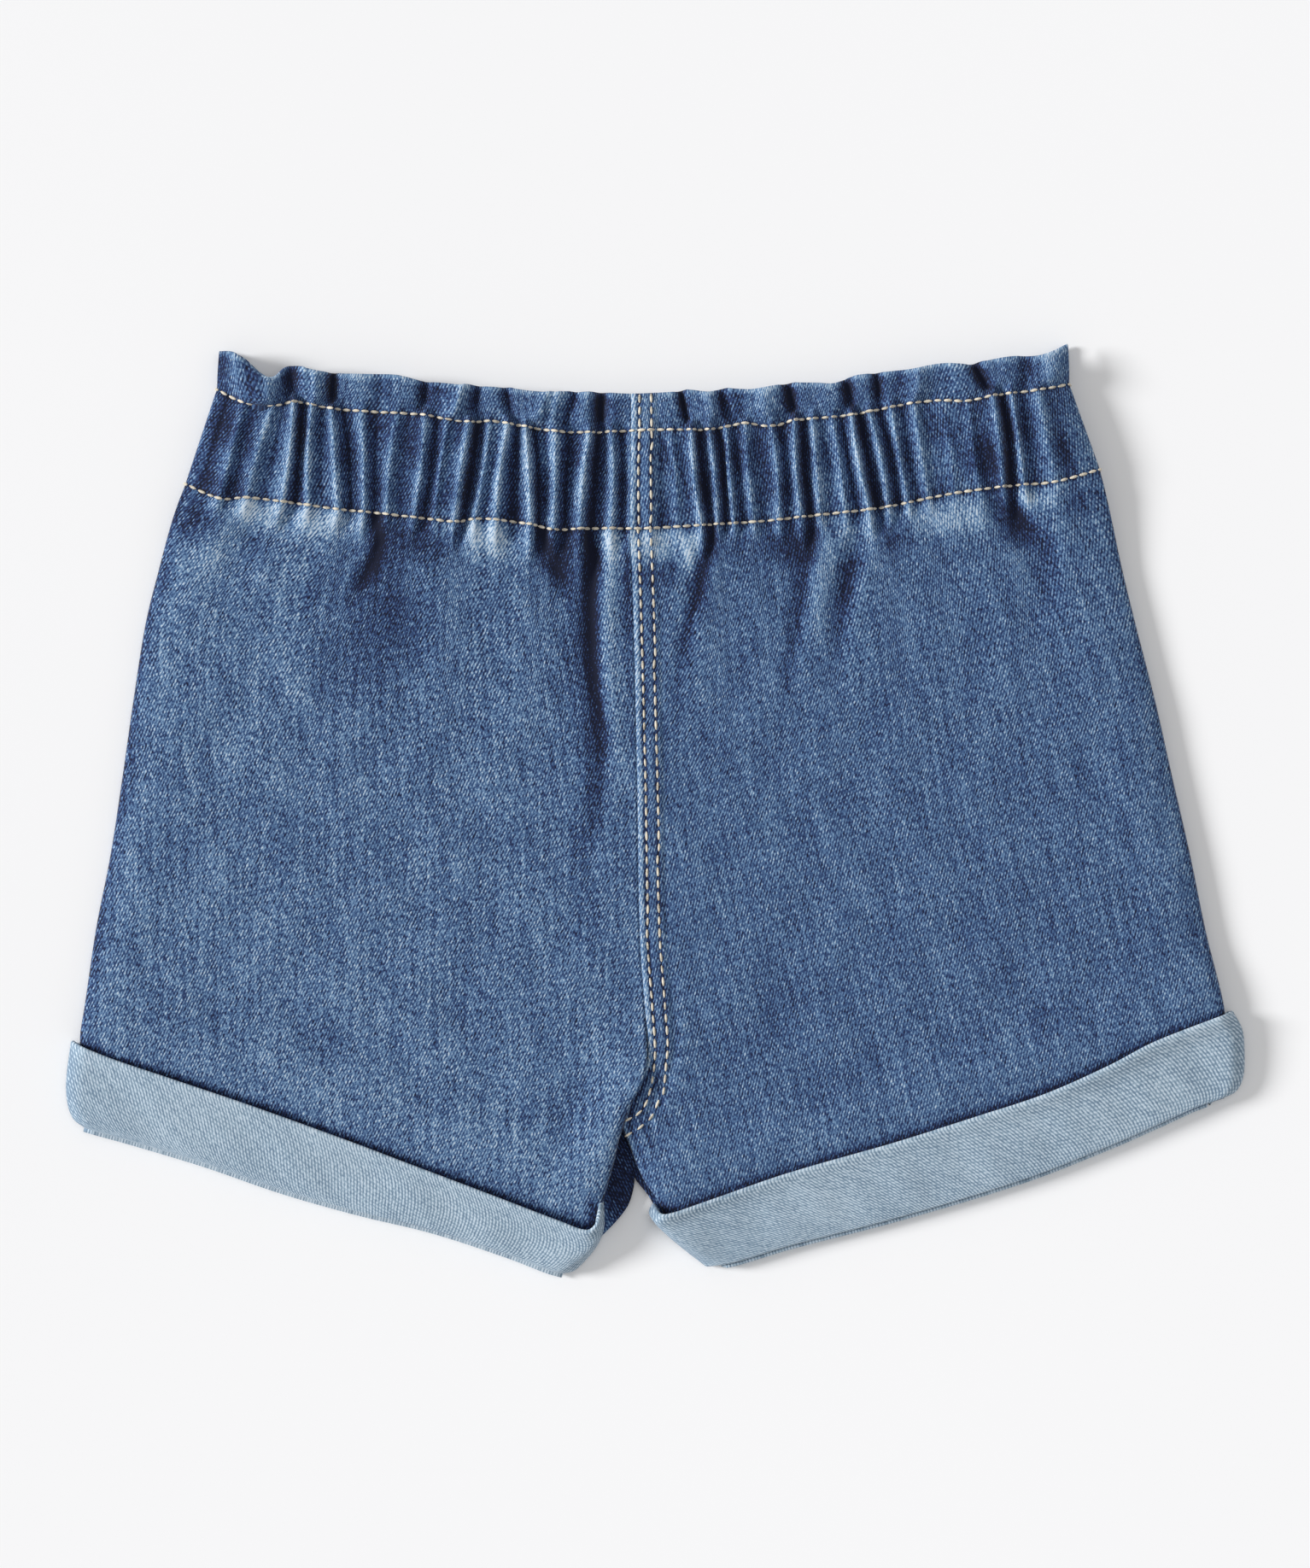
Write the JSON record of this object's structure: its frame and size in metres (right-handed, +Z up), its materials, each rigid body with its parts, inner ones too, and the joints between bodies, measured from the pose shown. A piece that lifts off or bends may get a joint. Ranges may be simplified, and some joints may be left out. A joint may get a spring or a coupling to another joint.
{
  "type": "denim shorts",
  "caption": "Child's pull-on denim shorts laid flat, back up, with a gathered elastic casing, a frilled waist edge and turned-up cuffs in the paler reverse",
  "frame": {"origin": "Centre of the underside of the bounding box, on the surface that the shorts lie on", "axes": "+X across the shorts to the wearer's right side as seen from the back, +Y from the cuffs up to the waist, +Z up from the surface through the back"},
  "size_m": [0.3016, 0.2374, 0.0102],
  "materials": {
    "denim": "washed mid-blue denim twill, matt, with pale worn ridges",
    "denim_casing": "gathered washed denim, darker in the folds",
    "denim_frill": "gathered washed denim folded double, with a worn edge",
    "denim_reverse": "pale grey-blue reverse of the denim, matt twill"
  },
  "bodies": {
    "root": {"back_panel_left": "denim", "back_panel_right": "denim", "front_panel_left": "denim", "front_panel_right": "denim", "casing_back_left": "denim_casing", "casing_back_right": "denim_casing", "casing_front_left": "denim_casing", "casing_front_right": "denim_casing", "frill_back_left": "denim_frill", "frill_back_right": "denim_frill", "frill_front_left": "denim_frill", "frill_front_right": "denim_frill", "cuff_back_left": "denim_reverse", "cuff_back_right": "denim_reverse", "cuff_front_left": "denim_reverse", "cuff_front_right": "denim_reverse"}
  },
  "joints": []
}
